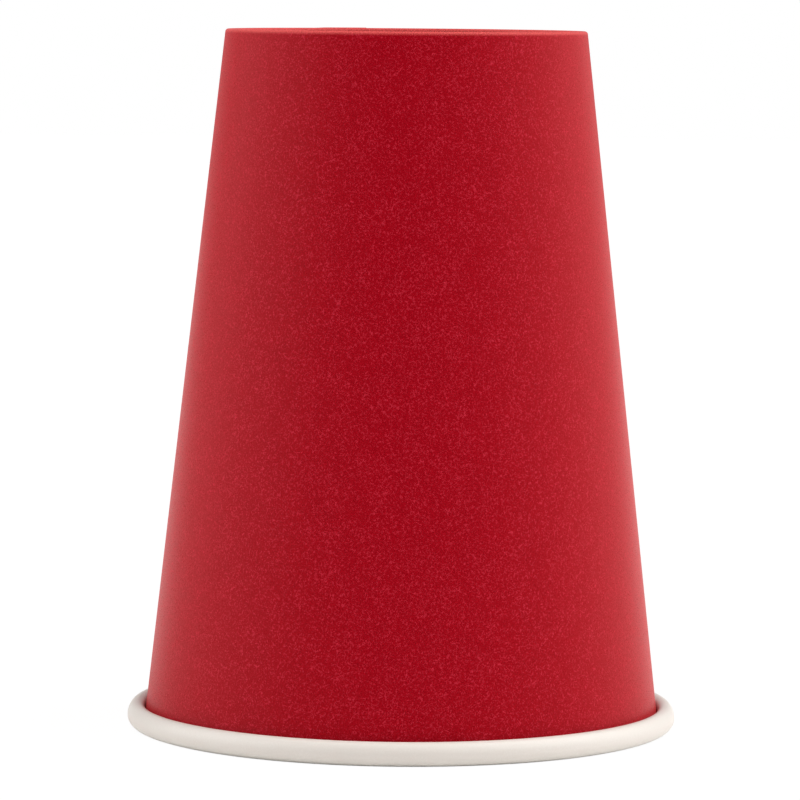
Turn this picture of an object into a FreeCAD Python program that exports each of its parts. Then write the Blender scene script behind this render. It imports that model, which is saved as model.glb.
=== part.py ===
import FreeCAD, Part
import math
import os

from FreeCAD import Vector

# A paper cup that stands mouth down on its rolled rim, in millimetres. It is made of two pieces of
# board. The side wall is one sheet: lapped and sealed into a cone, rolled outwards at the mouth,
# and folded inwards at the base over the skirt of the bottom disc. +Z points up to the closed base,
# and the origin is on the cup's axis in the plane that the rim stands on.

# Whole cup
height = 114.0
rim_diameter = 90.0         # over the rolled rim
base_diameter = 59.0        # over the folded base edge

# Board
wall_board = 0.35
disc_board = 0.30
bend_error = 0.08           # between the flats that make a bend and its arc

# Rolled rim
rim_height = 3.85
rim_bend = 1.6              # radius of the roll's outside at its foot and crown
rim_crevice = 0.15          # between the tucked end of the roll and the wall
tuck_turn = 120.0           # degrees that the sheet turns from the crown to its cut edge

# Base
recess = 8.0                # from the base edge in to the disc
flap = 6.5                  # straight part of the wall's folded end
disc_corner = 0.35          # inside radius between the disc and its skirt
skirt_clearance = 0.1       # from the skirt's cut edge to the bend of the fold

# Knurl that seals the base, pressed into the flap from inside the recess
knurl_count = 48
knurl_length = 4.4
knurl_width = 1.5
knurl_depth = 0.12
knurl_margin = 0.9          # from the flap's cut edge

# Lap seam of the side wall
seam_azimuth = 110.6        # degrees from +X
seam_width = 7.0            # where the sheet lies double
seam_ramp = 2.5             # where the outer ply climbs over the edge of the inner one
seam_tuck = 0.4             # how far the outer ply reaches down behind the roll
seam_seal = 4.0             # pressed shut inside, above the roll and below the disc

# The wall is the straight run that touches both bends, the fold on its inner side and the roll on
# its outer side, so its taper follows from the two. Bends are measured on the board's middle.
fold_radius = wall_board + disc_board / 2
fold_bend = fold_radius - wall_board / 2
fold_centre = Vector(base_diameter / 2 - fold_radius, 0, height - fold_radius)
roll_bend = rim_bend - wall_board / 2
roll_centre = Vector(rim_diameter / 2 - rim_bend, 0, rim_bend)
between = roll_centre - fold_centre
wall_run = math.sqrt(between.Length ** 2 - (fold_bend + roll_bend) ** 2)
lean = math.asin((fold_bend + roll_bend) / between.Length)
taper = math.degrees(math.atan2(between.x, -between.z) - lean)

# Headings in the XZ plane, in degrees from +X towards +Z
outward = taper
up_wall = taper + 90
inward = taper + 180
down_wall = taper - 90

origin = Vector(0, 0, 0)
axis = Vector(0, 0, 1)


def along(point, heading, distance):
    """The point at a distance on a heading."""
    angle = math.radians(heading)
    return point + Vector(math.cos(angle), 0, math.sin(angle)) * distance


def board_section(start, heading, moves, faces):
    """The section of a board that follows a path in the XZ plane.

    A move is a run (length, 0) or a bend (radius, turn), with a turn to the left positive. The two
    faces of the board are given by how far to the left of the path they lie. A bend is made of
    flats, with their ends on its arc.
    """
    def across():
        return [along(point, heading + 90, offset) for offset in faces]

    point = start
    stations = [across()]
    for size, turn in moves:
        if turn:
            side = math.copysign(90, turn)
            centre = along(point, heading + side, size)
            flats = math.ceil(abs(turn) / math.degrees(2 * math.acos(1 - bend_error / size)))
            for _ in range(flats):
                heading = heading + turn / flats
                point = along(centre, heading - side, size)
                stations.append(across())
        else:
            point = along(point, heading, size)
            stations.append(across())
    right_side, left_side = zip(*stations)
    return Part.Face(Part.makePolygon([*right_side, *reversed(left_side), right_side[0]]))


def revolved(section):
    """The solid of a section turned about the cup's axis."""
    return section.revolve(origin, axis, 360)


def wall_radius(level, depth):
    """Radius at a level of the layer that lies at a depth under the wall's outer face."""
    slope = math.radians(taper)
    middle = fold_centre.x + (fold_centre.z - level) * math.tan(slope)
    return middle + (fold_radius - depth) / math.cos(slope)


def flap_edge():
    """Middle of the board at the cut edge of the folded end."""
    return along(along(fold_centre, inward, fold_bend), down_wall, flap)


def folded_base():
    """The sheet's path from the cut edge of its flap, over the base fold and down the wall."""
    return [(flap, 0), (fold_bend, -up_wall), (fold_bend, down_wall), (wall_run, 0)]


def rolled_cone():
    """The sheet as if it had no seam: flap, base fold, wall and rolled rim."""
    crown = along(roll_centre, 90, rim_height - rim_bend)
    room = (crown - fold_centre).dot(along(origin, outward, 1)) - fold_radius - rim_crevice
    tuck_radius = room / (1 + math.sin(math.radians(taper)))
    moves = folded_base() + [
        (roll_bend, 90 - taper),
        (roll_bend, 90),
        (rim_height - 2 * rim_bend, 0),
        (roll_bend, 90),
        (tuck_radius - wall_board / 2, tuck_turn),
    ]
    return revolved(board_section(flap_edge(), up_wall, moves, (-wall_board / 2, wall_board / 2)))


def knurl():
    """The grooves, each a ridge of the sealing wheel, evenly round the flap's open face."""
    open_face = along(fold_centre, inward, fold_radius)
    foot = along(open_face, down_wall, flap - knurl_margin)
    root = along(foot, outward, knurl_depth)
    crest = along(foot, inward, knurl_depth)
    reach = Vector(0, knurl_width, 0)
    section = Part.Face(Part.makePolygon([root, crest + reach, crest - reach, root]))
    ridge = section.extrude(along(origin, up_wall, knurl_length))
    turns = [360 * index / knurl_count for index in range(knurl_count)]
    return [ridge.rotated(origin, axis, turn) for turn in turns]


def corner(across, radius, level):
    """A point at a distance across the seam, which faces +Y, on a circle about the axis."""
    return Vector(across, math.sqrt(radius ** 2 - across ** 2), level)


def wedge(low, high, corners):
    """A triangular prism along the seam; each corner is (across, depth under the outer face)."""
    ends = []
    for level in (low, high):
        points = [corner(across, wall_radius(level, depth), level) for across, depth in corners]
        ends.append(Part.makePolygon(points + points[:1]))
    return Part.makeLoft(ends, True, True)


def outer_ply():
    """The outer layer of the lap, pressed level with the base edge where it passes over it."""
    foot = rim_height - seam_tuck
    layer = revolved(board_section(flap_edge(), up_wall, folded_base(), (0, 1.5 * wall_board)))
    strip = Part.makeBox(seam_width, rim_diameter, height - foot, Vector(-seam_width / 2, 0, foot))
    edge = -seam_width / 2
    ramp = wedge(foot, fold_centre.z, [
        (edge, -wall_board),
        (edge, wall_board / 2),
        (edge - 1.5 * seam_ramp, wall_board / 2),
    ])
    return layer.common(strip).fuse(ramp)


def inner_groove():
    """The gap left inside, between the edge of the inner ply and the climbing outer ply."""
    edge = -seam_width / 2
    return wedge(rim_height + seam_seal, height - recess - seam_seal, [
        (edge, 0),
        (edge, 1.5 * wall_board),
        (edge - 1.5 * seam_ramp, 1.5 * wall_board),
    ])


def side_wall():
    wall = rolled_cone().cut(knurl()).fuse(outer_ply()).cut(inner_groove()).removeSplitter()
    wall.rotate(origin, axis, seam_azimuth - 90)
    return wall


def bottom_disc():
    level = height - recess - disc_board / 2
    bend = disc_corner + disc_board / 2
    slope = math.radians(taper)
    rise = level + bend - fold_centre.z
    bend_radius = fold_centre.x - (bend + rise * math.sin(slope)) / math.cos(slope)
    bend_centre = Vector(bend_radius, 0, level + bend)
    skirt = (fold_centre - bend_centre).dot(along(origin, up_wall, 1)) - skirt_clearance
    moves = [(bend_centre.x, 0), (bend, up_wall), (skirt, 0)]
    return revolved(board_section(Vector(0, 0, level), 0, moves, (-disc_board / 2, disc_board / 2)))


os.makedirs("parts", exist_ok=True)
for name, shape in (("side_wall", side_wall()), ("bottom_disc", bottom_disc())):
    print(name, shape.isValid(), len(shape.Solids), round(shape.Volume, 1))
    shape.exportStep(f"parts/{name}.step")
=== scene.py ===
import math

import bmesh
import bpy
from mathutils import Matrix, Vector


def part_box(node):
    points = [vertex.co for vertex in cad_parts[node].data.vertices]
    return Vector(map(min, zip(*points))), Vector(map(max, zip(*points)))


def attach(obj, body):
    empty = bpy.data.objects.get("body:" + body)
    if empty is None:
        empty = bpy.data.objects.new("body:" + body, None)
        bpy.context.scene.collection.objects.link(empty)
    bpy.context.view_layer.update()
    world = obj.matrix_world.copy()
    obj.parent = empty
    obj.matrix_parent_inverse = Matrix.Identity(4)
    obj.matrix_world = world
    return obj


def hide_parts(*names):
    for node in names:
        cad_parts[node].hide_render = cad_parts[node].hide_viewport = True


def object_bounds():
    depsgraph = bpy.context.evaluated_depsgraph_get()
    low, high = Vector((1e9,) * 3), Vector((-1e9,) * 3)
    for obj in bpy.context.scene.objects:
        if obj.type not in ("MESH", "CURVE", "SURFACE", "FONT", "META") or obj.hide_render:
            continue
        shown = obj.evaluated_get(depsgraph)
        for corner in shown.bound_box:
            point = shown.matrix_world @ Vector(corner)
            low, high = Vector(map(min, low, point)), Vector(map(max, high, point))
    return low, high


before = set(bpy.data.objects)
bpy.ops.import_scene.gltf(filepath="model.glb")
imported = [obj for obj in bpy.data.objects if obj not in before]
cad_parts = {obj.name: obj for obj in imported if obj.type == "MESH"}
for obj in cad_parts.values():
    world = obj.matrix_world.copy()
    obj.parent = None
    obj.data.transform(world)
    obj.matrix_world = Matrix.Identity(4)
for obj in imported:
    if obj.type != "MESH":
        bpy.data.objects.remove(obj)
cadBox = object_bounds()
mm = 0.001
fullTurn = 2 * math.pi

print("frame loaded:", ", ".join(sorted(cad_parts)))


# the section of a board is drawn as a path in the XZ plane and then spun about the cup's axis

def polar(heading, length):
    return Vector((math.cos(heading), 0, math.sin(heading))) * length


def runOn(mesh, tip, heading, length, rows):
    for _ in range(rows):
        tip = bmesh.ops.extrude_vert_indiv(mesh, verts=[tip])["verts"][0]
        bmesh.ops.translate(mesh, verts=[tip], vec=polar(heading, length / rows))
    return tip


def bendOn(mesh, tip, heading, radius, turn, rows):
    # a turn to the left is positive
    centre = tip.co + polar(heading + math.copysign(math.pi / 2, turn), radius)
    bent = bmesh.ops.spin(mesh, geom=[tip], cent=centre, axis=(0, -1, 0), angle=turn, steps=rows)
    tip = [item for item in bent["geom_last"] if isinstance(item, bmesh.types.BMVert)][0]
    return tip, heading + turn


def measurePath(mesh):
    # keeps on each point how far along the board it lies
    along = mesh.verts.layers.float.new("along")
    mesh.verts.ensure_lookup_table()
    for before, after in zip(mesh.verts[:-1], mesh.verts[1:]):
        after[along] = before[along] + (after.co - before.co).length
    return along


def facesOut(mesh):
    # the face with the most area shows which way the drawn face looks
    mesh.normal_update()
    widest = max(mesh.faces, key=lambda face: face.calc_area())
    if widest.normal.dot(widest.calc_center_median()) < 0:
        bmesh.ops.reverse_faces(mesh, faces=mesh.faces)


sheetSettings = {
    "sharpFrom": 50,             # degrees; a cut edge turns more, one row of a bend less
    "backSlot": 1,               # material of the face behind the drawn one
    "edgeSlot": 2,               # material of the cut edges
}


def finishPiece(mesh, name, materials, board):
    # gives the sheet its thickness behind the face that was drawn, and sharp cut edges
    s = sheetSettings
    sheet = bpy.data.meshes.new(name)
    mesh.to_mesh(sheet)
    mesh.free()
    piece = bpy.data.objects.new(name, sheet)
    bpy.context.collection.objects.link(piece)
    for material in materials:
        sheet.materials.append(material)
    solid = piece.modifiers.new("board", "SOLIDIFY")
    solid.thickness = board
    solid.offset = -1
    solid.use_even_offset = True
    solid.material_offset = s["backSlot"]
    solid.material_offset_rim = s["edgeSlot"]
    depsgraph = bpy.context.evaluated_depsgraph_get()
    thick = bpy.data.meshes.new_from_object(piece.evaluated_get(depsgraph))
    piece.modifiers.clear()
    piece.data = thick
    bpy.data.meshes.remove(sheet)
    thick.name = name
    thick.shade_smooth()
    thick.set_sharp_from_angle(angle=math.radians(s["sharpFrom"]))
    return piece


# the side wall: flap, base fold, cone and rolled rim, bent from one sheet

wallSettings = {
    "board": 0.35 * mm,
    "baseWidth": 59.0 * mm,      # over the base fold
    "foldBend": 0.5 * mm,        # outside of the base fold
    "flap": 6.5 * mm,
    "rimHeight": 3.85 * mm,
    "rimBend": 1.6 * mm,         # outside of the roll at its foot, and half its width
    "shoulderBend": 2.6 * mm,    # outside of the roll where it starts to lean in to its crown
    "shoulderTurn": 40,
    "crevice": 0.15 * mm,        # between the tucked end of the roll and the wall
    "tuckTurn": 120,
    "lap": 7.0 * mm,             # where the sheet lies double
    "climb": 2.5 * mm,           # where the outer ply climbs over the inner one's edge
    "lapPressed": 0.2,           # of the lap's step that is left over the fold and in the roll
    "pressedOver": 4.0 * mm,
    "seamAzimuth": 110.6,
    "knurls": 48,
    "knurlWidth": 1.5 * mm,
    "knurlLength": 4.4 * mm,
    "knurlMargin": 0.9 * mm,
    "knurlDepth": 0.12 * mm,
    "knurlEnds": 0.45 * mm,      # where a groove rises to nothing at each end
    "columns": 384,
    "endRun": 6.0 * mm,          # closer rows at both ends of the wall, where the lap is pressed
    "rows": {"flap": 8, "fold": 12, "end": 6, "wall": 12, "foot": 18, "upright": 1,
             "shoulder": 6, "crown": 6, "tuck": 10},
}


def wallLayout(s):
    # the wall is the straight run that touches both bends, so its taper follows from the two
    low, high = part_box("side_wall")
    foldCentre = Vector((s["baseWidth"] / 2 - s["foldBend"], 0, high.z - s["foldBend"]))
    rollCentre = Vector((high.x - s["rimBend"], 0, low.z + s["rimBend"]))
    between = rollCentre - foldCentre
    across = s["foldBend"] + s["rimBend"] - s["board"]
    taper = math.atan2(between.x, -between.z) - math.asin(across / between.length)
    wallRun = math.sqrt(between.length_squared - across ** 2)
    crown = rollCentre + Vector((0, 0, s["rimHeight"] - s["rimBend"]))
    room = (crown - foldCentre).dot(polar(taper, 1)) - s["foldBend"] - s["crevice"]
    tuckBend = room / (1 + math.sin(taper))
    return {"foldCentre": foldCentre, "taper": taper, "wallRun": wallRun, "tuckBend": tuckBend}


def blankStart(s):
    # where the flap's cut edge lies on the flat sheet that carries the finish, from the centre of
    # its fan; the base width stands in for the flap's own, so the real blank starts a little nearer
    return s["baseWidth"] / 2 / math.sin(wallLayout(s)["taper"])


def drawWallPath(mesh, s):
    # the printed face of the sheet, from the flap's cut edge to the end tucked into the roll
    layout, rows, board = wallLayout(s), s["rows"], s["board"]
    taper = layout["taper"]
    heading = taper + math.pi / 2
    start = layout["foldCentre"] - polar(taper, s["foldBend"]) - polar(heading, s["flap"])
    tip = bmesh.ops.create_vert(mesh, co=start)["vert"][0]
    tip = runOn(mesh, tip, heading, s["flap"], rows["flap"])
    tip, heading = bendOn(mesh, tip, heading, s["foldBend"], -math.pi, rows["fold"])
    tip = runOn(mesh, tip, heading, s["endRun"], rows["end"])
    tip = runOn(mesh, tip, heading, layout["wallRun"] - 2 * s["endRun"], rows["wall"])
    tip = runOn(mesh, tip, heading, s["endRun"], rows["end"])
    tip, heading = bendOn(mesh, tip, heading, s["rimBend"] - board, math.pi - taper, rows["foot"])
    shoulder = math.radians(s["shoulderTurn"])
    crown = math.pi / 2 - shoulder
    crownBend = (s["rimBend"] - s["shoulderBend"] * (1 - math.cos(shoulder))) / math.cos(shoulder)
    crownRise = s["shoulderBend"] * math.sin(shoulder) + crownBend * (1 - math.sin(shoulder))
    upright = s["rimHeight"] - s["rimBend"] - crownRise
    tip = runOn(mesh, tip, heading, upright, rows["upright"])
    tip, heading = bendOn(mesh, tip, heading, s["shoulderBend"] - board, shoulder, rows["shoulder"])
    tip, heading = bendOn(mesh, tip, heading, crownBend - board, crown, rows["crown"])
    tuckTurn = math.radians(s["tuckTurn"])
    bendOn(mesh, tip, heading, layout["tuckBend"] - board, tuckTurn, rows["tuck"])
    return measurePath(mesh)


def ease(value, start, end):
    share = min(max((value - start) / (end - start), 0), 1)
    return share * share * (3 - 2 * share)


def lapStep(s, radius, arc, level, top):
    # how far the sheet is lifted where it climbs over its own inner edge
    climbed = ease(arc, fullTurn * radius - s["climb"], fullTurn * radius)
    nearEnd = max(ease(level, s["rimHeight"] + s["pressedOver"], s["rimHeight"]),
                  ease(level, top - s["pressedOver"], top - s["foldBend"]))
    return s["board"] * climbed * (1 - nearEnd * (1 - s["lapPressed"]))


def knurlDepth(s, azimuth, radius, along):
    # grooves pressed into the flap by the sealing wheel, spaced from a quarter turn before the seam
    inside = along - s["knurlMargin"]
    if not 0 < inside < s["knurlLength"]:
        return 0
    turn = (azimuth - math.radians(s["seamAzimuth"] - 90)) * s["knurls"] / fullTurn
    away = abs(turn - round(turn)) * fullTurn * radius / s["knurls"]
    ends = min(inside, s["knurlLength"] - inside) / s["knurlEnds"]
    return s["knurlDepth"] * max(1 - 2 * away / s["knurlWidth"], 0) * min(ends, 1)


def wrapSheet(mesh, s, along):
    # closes the spun sheet on itself with a lap of one width all the way up
    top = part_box("side_wall")[1].z
    slit = fullTurn / (s["columns"] + 1)
    sine = math.sin(wallLayout(s)["taper"])
    firstSlant = blankStart(s)
    mesh.normal_update()
    blank = mesh.loops.layers.uv.new("blank")
    places = {}
    for vert in mesh.verts:
        radius = vert.co.xy.length
        turned = -math.atan2(vert.co.y, vert.co.x) % fullTurn
        span = fullTurn + s["lap"] / radius
        share = (turned - slit / 2) / (fullTurn - slit)
        wrapped = math.radians(s["seamAzimuth"]) + s["lap"] / radius / 2 - share * span
        step = lapStep(s, radius, share * span * radius, vert.co.z, top)
        if step == 0:
            step = -knurlDepth(s, wrapped, radius, vert[along])
        vert.co += vert.normal * step
        vert.co.rotate(Matrix.Rotation(wrapped + turned, 3, "Z"))
        slant = firstSlant + vert[along]
        fan = share * span * sine
        places[vert] = (slant * math.cos(fan), slant * math.sin(fan))
    for face in mesh.faces:
        for loop in face.loops:
            loop[blank].uv = places[loop.vert]


def buildSideWall(s, materials):
    mesh = bmesh.new()
    along = drawWallPath(mesh, s)
    slit = fullTurn / (s["columns"] + 1)
    start = Matrix.Rotation(-slit / 2, 3, "Z")
    bmesh.ops.rotate(mesh, verts=mesh.verts, cent=(0, 0, 0), matrix=start)
    bmesh.ops.spin(mesh, geom=mesh.verts[:] + mesh.edges[:], cent=(0, 0, 0), axis=(0, 0, 1),
                   angle=slit - fullTurn, steps=s["columns"])
    facesOut(mesh)
    wrapSheet(mesh, s, along)
    return finishPiece(mesh, "sideWall", materials, s["board"])


# the bottom disc: a round blank with its edge turned up into a skirt

discSettings = {
    "board": 0.3 * mm,
    "corner": 0.35 * mm,
    "skirtClearance": 0.1 * mm,  # from the skirt's cut edge to the bend of the base fold
    "weld": 0.001 * mm,
    "columns": 384,
    "rows": {"flat": 10, "corner": 8, "skirt": 3},
}


def buildBottomDisc(s, wall, materials):
    layout, rows = wallLayout(wall), s["rows"]
    foldCentre, taper = layout["foldCentre"], layout["taper"]
    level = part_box("bottom_disc")[0].z + s["board"]
    bendHeight = level + s["corner"]
    inward = s["board"] / 2 + s["corner"] + (bendHeight - foldCentre.z) * math.sin(taper)
    bendCentre = Vector((foldCentre.x - inward / math.cos(taper), 0, bendHeight))
    upWall = taper + math.pi / 2
    skirt = (foldCentre - bendCentre).dot(polar(upWall, 1)) - s["skirtClearance"]
    mesh = bmesh.new()
    tip = bmesh.ops.create_vert(mesh, co=(0, 0, level))["vert"][0]
    tip = runOn(mesh, tip, 0, bendCentre.x, rows["flat"])
    tip, heading = bendOn(mesh, tip, 0, s["corner"], upWall, rows["corner"])
    runOn(mesh, tip, heading, skirt, rows["skirt"])
    bmesh.ops.spin(mesh, geom=mesh.verts[:] + mesh.edges[:], cent=(0, 0, 0), axis=(0, 0, 1),
                   angle=fullTurn, steps=s["columns"], use_merge=True)
    bmesh.ops.remove_doubles(mesh, verts=mesh.verts, dist=s["weld"])
    facesOut(mesh)
    return finishPiece(mesh, "bottomDisc", materials, s["board"])


# finishes

def addNode(nodes, kind, inputs=None, **settings):
    node = nodes.new(kind)
    for key, value in settings.items():
        setattr(node, key, value)
    for key, value in (inputs or {}).items():
        node.inputs[key].default_value = value
    return node


fibreSettings = {                # scales and sizes in the finish's own millimetres
    "lays": ((0.4, 1.25), (1.5, 1.0), (2.7, 1.5)),    # turn and scale of each layer of fibres
    "layShift": (31, 17, 5),     # times the turn, so that no two layers fall together
    "curl": 0.5,                 # detail of a fibre's line
    "width": 0.04,               # of a fibre, the same whatever its layer's scale
    "breaks": 1.6,               # scale of the noise that breaks a fibre up, against the fibre's own
    "breakLevel": (0.62, 0.42),  # of that noise where a fibre starts, at a density of 0 and of 1
    "breakFade": (-0.04, 0.06),  # about that level, from where a fibre is gone to where it is full
    "patchScale": 0.2,           # of areas with slightly more fibres, and with fewer
    "patchLevels": (0.35, 0.65),
    "patchShift": 0.025,         # of the break level, either way
    "speckScale": 0.9,
    "speckSize": (0.05, 0.16),   # where a speck is full and where it ends
    "speckStrength": 0.8,
    "grain": (3.4, 1.5, 0.5),    # scale, detail and roughness
    "mottle": (0.16, 4.0, 0.6),
    "fibreRelief": 0.5,          # height of a fibre against the grain's
}


def paperFibre(s):
    # curved fibres in faint patches, a fine grain, a few light specks and a soft mottle
    group = bpy.data.node_groups.new("paperFibre", "ShaderNodeTree")
    group.interface.new_socket("Vector", in_out="INPUT", socket_type="NodeSocketVector")
    density = group.interface.new_socket("Density", in_out="INPUT", socket_type="NodeSocketFloat")
    density.default_value = 0.5
    for name in ("Fibre", "Grain", "Mottle", "Relief"):
        group.interface.new_socket(name, in_out="OUTPUT", socket_type="NodeSocketFloat")
    nodes, links = group.nodes, group.links
    entry = nodes.new("NodeGroupInput")
    leave = nodes.new("NodeGroupOutput")
    place = entry.outputs["Vector"]

    def noise(vector, scale, detail, roughness=0.5):
        made = addNode(nodes, "ShaderNodeTexNoise",
                       {"Scale": scale, "Detail": detail, "Roughness": roughness})
        links.new(vector, made.inputs["Vector"])
        return made.outputs["Fac"]

    def remap(value, low, high, toLow=0.0, toHigh=1.0):
        made = addNode(nodes, "ShaderNodeMapRange", {"From Min": low, "From Max": high,
                                                     "To Min": toLow, "To Max": toHigh})
        links.new(value, made.inputs["Value"])
        return made.outputs[0]

    def combine(operation, first, second):
        made = addNode(nodes, "ShaderNodeMath", operation=operation)
        for socket, value in zip(made.inputs, (first, second)):
            if isinstance(value, float):
                socket.default_value = value
            else:
                links.new(value, socket)
        return made.outputs[0]

    patches = noise(place, s["patchScale"], 1.0)
    patchy = remap(patches, *s["patchLevels"], -s["patchShift"], s["patchShift"])
    plain = remap(entry.outputs["Density"], 0.0, 1.0, *s["breakLevel"])
    breakLevel = combine("ADD", plain, patchy)
    strands = None
    for turn, scale in s["lays"]:
        shift = tuple(part * turn for part in s["layShift"])
        lay = addNode(nodes, "ShaderNodeMapping", {"Rotation": (0, 0, turn), "Location": shift})
        links.new(place, lay.inputs["Vector"])
        level = noise(lay.outputs[0], scale, s["curl"])
        away = combine("ABSOLUTE", combine("SUBTRACT", level, 0.5), 0.0)    # from a line of one level
        line = remap(away, 0.0, s["width"] * scale, 1.0, 0.0)
        here = combine("SUBTRACT", noise(lay.outputs[0], s["breaks"] * scale, 1.0), breakLevel)
        strand = combine("MULTIPLY", line, remap(here, *s["breakFade"]))
        strands = strand if strands is None else combine("MAXIMUM", strands, strand)
    specks = addNode(nodes, "ShaderNodeTexVoronoi", {"Scale": s["speckScale"]})
    links.new(place, specks.inputs["Vector"])
    speck = remap(specks.outputs["Distance"], *s["speckSize"], s["speckStrength"], 0.0)
    fibre = combine("MAXIMUM", strands, speck)
    grain = noise(place, *s["grain"])
    relief = combine("ADD", combine("MULTIPLY", fibre, s["fibreRelief"]), grain)
    links.new(fibre, leave.inputs["Fibre"])
    links.new(grain, leave.inputs["Grain"])
    links.new(noise(place, *s["mottle"]), leave.inputs["Mottle"])
    links.new(relief, leave.inputs["Relief"])
    return group


def foldWearAndHighlight(nodes, links, place, grain, edges):
    # a mask for the band over the base fold that is painted lighter: partly ink stretched thin there,
    # partly a painted highlight on the fold's crest; broken up by the grain
    s = wallSettings
    crest = blankStart(s) + s["flap"] + s["foldBend"] * math.pi / 2
    slant = addNode(nodes, "ShaderNodeVectorMath", operation="LENGTH")
    links.new(place, slant.inputs[0])
    mask = grain
    for clear, full in edges:
        ends = {"From Min": crest + clear, "From Max": crest + full}
        side = addNode(nodes, "ShaderNodeMapRange", ends, interpolation_type="SMOOTHSTEP")
        links.new(slant.outputs["Value"], side.inputs["Value"])
        joined = addNode(nodes, "ShaderNodeMath", operation="MULTIPLY")
        links.new(mask, joined.inputs[0])
        links.new(side.outputs[0], joined.inputs[1])
        mask = joined.outputs[0]
    return mask


finishSettings = {
    "mottleLevels": (0.3, 0.7),   # between which the tone goes from dark to middle
    "grainLevels": (0.25, 0.75),  # and from there to light
    "reliefLevels": (0.3, 1.0),   # between which the gloss goes from smooth to rough
    "reliefDepth": 0.03 * mm,
}


def boardFinish(name, fibreGroup, s):
    # one face of a board: its tones from the grain and the mottle, its fibres, gloss and relief
    shared = finishSettings
    material = bpy.data.materials.new(name)
    material.use_nodes = True
    nodes, links = material.node_tree.nodes, material.node_tree.links
    shader = nodes["Principled BSDF"]
    shader.inputs["Specular IOR Level"].default_value = s["specular"]
    if "sheen" in s:
        shader.inputs["Sheen Weight"].default_value = s["sheen"]
        shader.inputs["Sheen Tint"].default_value = s["sheenColour"]
    if s["onBlank"]:
        place = addNode(nodes, "ShaderNodeUVMap", uv_map="blank").outputs["UV"]
    else:
        place = addNode(nodes, "ShaderNodeTexCoord").outputs["Object"]
    fibreScale = s["fibreScale"] / mm
    scaled = addNode(nodes, "ShaderNodeMapping", {"Scale": (fibreScale, fibreScale, fibreScale)})
    links.new(place, scaled.inputs["Vector"])
    fibre = addNode(nodes, "ShaderNodeGroup", node_tree=fibreGroup)
    fibre.inputs["Density"].default_value = s["density"]
    links.new(scaled.outputs[0], fibre.inputs["Vector"])

    def blend(amount, low, high, first, second):
        # mixes two colours as a mask goes from low to high
        share = addNode(nodes, "ShaderNodeMapRange", {"From Min": low, "From Max": high})
        links.new(amount, share.inputs["Value"])
        mixed = addNode(nodes, "ShaderNodeMix", data_type="RGBA")
        links.new(share.outputs[0], mixed.inputs["Factor"])
        for socket, colour in ((mixed.inputs[6], first), (mixed.inputs[7], second)):
            if isinstance(colour, tuple):
                socket.default_value = colour
            else:
                links.new(colour, socket)
        return mixed.outputs[2]

    dark = blend(fibre.outputs["Mottle"], *shared["mottleLevels"], s["dark"], s["middle"])
    toned = blend(fibre.outputs["Grain"], *shared["grainLevels"], dark, s["light"])
    coloured = blend(fibre.outputs["Fibre"], 0.0, 1 / s["fibreShows"], toned, s["fleck"])
    # the base fold gets a lighter red: ink stretched thin there, and a painted highlight on its crest
    if "wornInkAndHighlight" in s:
        band = foldWearAndHighlight(nodes, links, place, fibre.outputs["Grain"], s["wornHighlightEdges"])
        coloured = blend(band, 0.0, 1.0, coloured, s["wornInkAndHighlight"])
    links.new(coloured, shader.inputs["Base Color"])
    low, high = shared["reliefLevels"]
    gloss = addNode(nodes, "ShaderNodeMapRange", {"From Min": low, "From Max": high,
                                                  "To Min": s["smooth"], "To Max": s["rough"]})
    links.new(fibre.outputs["Relief"], gloss.inputs["Value"])
    links.new(gloss.outputs[0], shader.inputs["Roughness"])
    bump = addNode(nodes, "ShaderNodeBump", {"Strength": s["relief"],
                                             "Distance": shared["reliefDepth"]})
    links.new(fibre.outputs["Relief"], bump.inputs["Height"])
    links.new(bump.outputs[0], shader.inputs["Normal"])
    return material


printedFace = {
    "dark": (0.241, 0.0001, 0.0045, 1),
    "middle": (0.271, 0.0001, 0.005, 1),
    "light": (0.372, 0.0003, 0.009, 1),
    "fleck": (0.6, 0.026, 0.056, 1),
    "fibreShows": 0.7,
    "density": 0.35,
    "fibreScale": 1.25,
    "smooth": 0.25,
    "rough": 0.45,
    "specular": 0.06,
    "sheen": 0.55,
    "sheenColour": (1, 0.1, 0.1, 1),
    "relief": 0.6,
    "onBlank": True,
    # lighter red over the base fold: stretched ink, and a painted highlight on its crest
    "wornInkAndHighlight": (0.88, 0.15, 0.14, 1),
    # on each side of the base fold's crest, where the worn ink and painted highlight end and where
    # they are full
    "wornHighlightEdges": ((-1.5 * mm, -0.9 * mm), (1.05 * mm, 0.45 * mm)),
}

coatedFace = {
    "dark": (0.71, 0.68, 0.637, 1),
    "middle": (0.728, 0.70, 0.658, 1),
    "light": (0.743, 0.715, 0.675, 1),
    "fleck": (0.765, 0.74, 0.705, 1),
    "fibreShows": 0.5,
    "density": 0.3,
    "fibreScale": 1.1,
    "smooth": 0.28,
    "rough": 0.42,
    "specular": 0.45,
    "relief": 0.1,
    "onBlank": True,
}

cutFace = {
    "dark": (0.70, 0.64, 0.54, 1),
    "middle": (0.76, 0.70, 0.61, 1),
    "light": (0.84, 0.79, 0.71, 1),
    "fleck": (0.9, 0.87, 0.8, 1),
    "fibreShows": 0.6,
    "density": 0.6,
    "fibreScale": 0.5,
    "smooth": 0.75,
    "rough": 0.9,
    "specular": 0.3,
    "relief": 0.5,
    "onBlank": False,
}

discFace = dict(coatedFace, onBlank=False, density=0.45, fibreShows=0.6, smooth=0.45, rough=0.6)

fibreGroup = paperFibre(fibreSettings)
printedBoard = boardFinish("printedBoard", fibreGroup, printedFace)
coatedBoard = boardFinish("coatedBoard", fibreGroup, coatedFace)
cutBoard = boardFinish("cutBoard", fibreGroup, cutFace)
discBoard = boardFinish("discBoard", fibreGroup, discFace)
print("finishes made")

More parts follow.
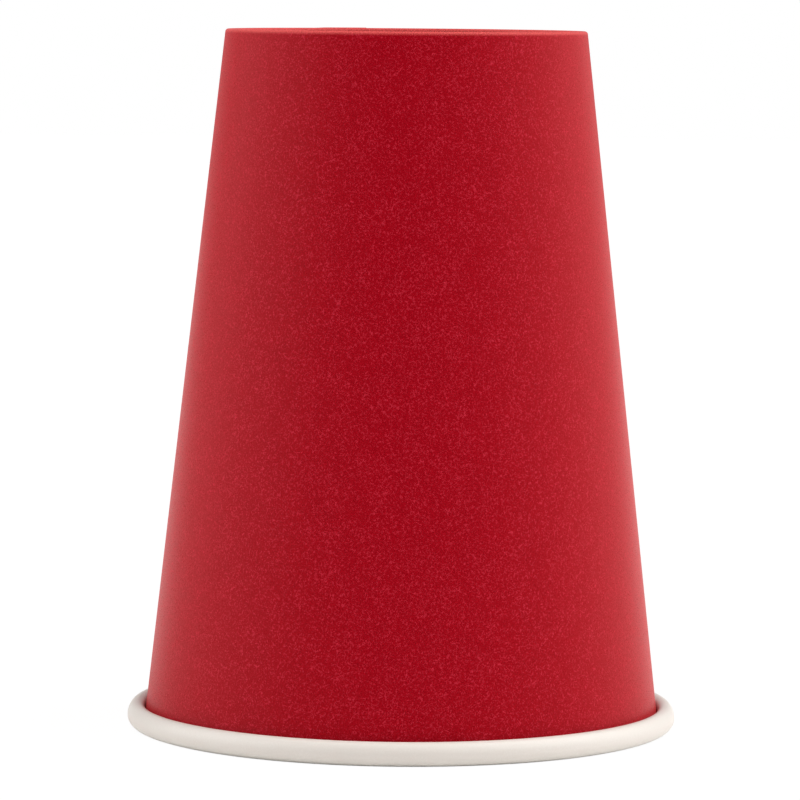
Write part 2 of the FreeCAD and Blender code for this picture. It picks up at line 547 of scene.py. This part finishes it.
sideWall = buildSideWall(wallSettings, [printedBoard, coatedBoard, cutBoard])
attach(sideWall, "root")
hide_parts("side_wall")
print("side wall:", len(sideWall.data.polygons), "faces")

bottomDisc = buildBottomDisc(discSettings, wallSettings, [discBoard, discBoard, cutBoard])
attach(bottomDisc, "root")
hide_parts("bottom_disc")
print("bottom disc:", len(bottomDisc.data.polygons), "faces")


# the studio: a pale floor, soft light from both sides and above, and less of it from the front

studio = {
    "floorSize": 6.0,
    "floorPale": (0.88, 0.88, 0.87, 1),
    "floorWhite": 0.94,          # share of the floor's look that is plain white to the camera
    "floorGlow": 1.02,           # strength of that white, which makes up for the shaded share
    "lightColour": (1, 0.98, 0.96, 1),
    "room": (                    # degrees to the right of the camera's side, degrees up, strength
        (-60, 10, 0.35), (-90, 10, 1.5), (-120, 10, 0.28), (180, 10, 0.44),
        (120, 10, 0.64), (90, 10, 0.97), (45, 50, 1.0), (90, 50, 1.25),
        (-90, 50, 1.0), (0, 90, 0.72),
    ),
    "softEdge": (0.7, 0.98),     # cosines where a patch of light ends and where it is full
    "keyBox": {"place": (0.77, 0, 0.98), "size": 0.9, "power": 2.3},
}


def buildFloor(s):
    mesh = bmesh.new()
    bmesh.ops.create_grid(mesh, x_segments=1, y_segments=1, size=s["floorSize"] / 2)
    bmesh.ops.translate(mesh, verts=mesh.verts, vec=(0, 0, cadBox[0].z))
    data = bpy.data.meshes.new("floor")
    mesh.to_mesh(data)
    mesh.free()
    floor = bpy.data.objects.new("floor", data)
    bpy.context.collection.objects.link(floor)
    material = bpy.data.materials.new("floorPaper")
    material.use_nodes = True
    nodes, links = material.node_tree.nodes, material.node_tree.links
    nodes.clear()
    matt = addNode(nodes, "ShaderNodeBsdfDiffuse", {"Color": s["floorPale"]})
    white = addNode(nodes, "ShaderNodeEmission", {"Color": (1, 1, 1, 1), "Strength": s["floorGlow"]})
    path = addNode(nodes, "ShaderNodeLightPath")
    share = addNode(nodes, "ShaderNodeMath", {1: s["floorWhite"]}, operation="MULTIPLY")
    mixed = addNode(nodes, "ShaderNodeMixShader")
    out = addNode(nodes, "ShaderNodeOutputMaterial")
    links.new(path.outputs["Is Camera Ray"], share.inputs[0])
    links.new(share.outputs[0], mixed.inputs[0])
    links.new(matt.outputs[0], mixed.inputs[1])
    links.new(white.outputs[0], mixed.inputs[2])
    links.new(mixed.outputs[0], out.inputs["Surface"])
    data.materials.append(material)


def buildSurroundings(s):
    # plain white to the camera; as light, soft patches round a dark room, brightest at the two sides
    world = bpy.data.worlds.new("surroundings")
    bpy.context.scene.world = world
    world.use_nodes = True
    nodes, links = world.node_tree.nodes, world.node_tree.links
    nodes.clear()
    place = addNode(nodes, "ShaderNodeTexCoord")
    ends, full = s["softEdge"]
    total = None
    for azimuth, elevation, strength in s["room"]:
        turn, rise = math.radians(azimuth), math.radians(elevation)
        way = (math.sin(turn) * math.cos(rise), -math.cos(turn) * math.cos(rise), math.sin(rise))
        facing = addNode(nodes, "ShaderNodeVectorMath", {1: way}, operation="DOT_PRODUCT")
        links.new(place.outputs["Generated"], facing.inputs[0])
        patch = addNode(nodes, "ShaderNodeMapRange",
                        {"From Min": ends, "From Max": full, "To Max": strength},
                        interpolation_type="SMOOTHSTEP")
        links.new(facing.outputs["Value"], patch.inputs["Value"])
        if total is None:
            total = patch.outputs[0]
            continue
        joined = addNode(nodes, "ShaderNodeMath", operation="ADD")
        links.new(total, joined.inputs[0])
        links.new(patch.outputs[0], joined.inputs[1])
        total = joined.outputs[0]
    seen = addNode(nodes, "ShaderNodeBackground", {"Color": (1, 1, 1, 1), "Strength": 1.0})
    lit = addNode(nodes, "ShaderNodeBackground", {"Color": s["lightColour"]})
    links.new(total, lit.inputs["Strength"])
    path = addNode(nodes, "ShaderNodeLightPath")
    mixed = addNode(nodes, "ShaderNodeMixShader")
    out = addNode(nodes, "ShaderNodeOutputWorld")
    links.new(path.outputs["Is Camera Ray"], mixed.inputs[0])
    links.new(lit.outputs[0], mixed.inputs[1])
    links.new(seen.outputs[0], mixed.inputs[2])
    links.new(mixed.outputs[0], out.inputs["Surface"])


def softBox(name, s, colour):
    # a square lamp that faces the middle of the cup
    lamp = bpy.data.lights.new(name, "AREA")
    lamp.size = s["size"]
    lamp.energy = s["power"]
    lamp.color = colour[:3]
    holder = bpy.data.objects.new(name, lamp)
    holder.location = s["place"]
    aim = Vector((0, 0, cadBox[1].z / 2)) - holder.location
    holder.rotation_euler = aim.to_track_quat("-Z", "Y").to_euler()
    holder.visible_camera = False
    bpy.context.collection.objects.link(holder)


cameraSettings = {
    "place": (0, -774.5 * mm, 121.34 * mm),
    "tiltDown": 5.004,
    "roll": 0.47,
    "lens": 213.5,
    "sensor": 36,
    "shift": -0.0045,
    "clipStart": 0.01,
}


def buildCamera(s):
    data = bpy.data.cameras.new("camera")
    data.lens = s["lens"]
    data.sensor_width = s["sensor"]
    data.shift_x = s["shift"]
    data.clip_start = s["clipStart"]
    holder = bpy.data.objects.new("camera", data)
    bpy.context.collection.objects.link(holder)
    tilt = Matrix.Rotation(math.radians(90 - s["tiltDown"]), 4, "X")
    roll = Matrix.Rotation(math.radians(s["roll"]), 4, "Z")
    holder.matrix_world = Matrix.Translation(s["place"]) @ tilt @ roll
    bpy.context.scene.camera = holder


buildFloor(studio)
buildSurroundings(studio)
softBox("keyBox", studio["keyBox"], studio["lightColour"])
buildCamera(cameraSettings)
bpy.context.scene.view_settings.view_transform = "Standard"
print("studio ready")

print("box of the solids", [round(v, 4) for corner in cadBox for v in corner])
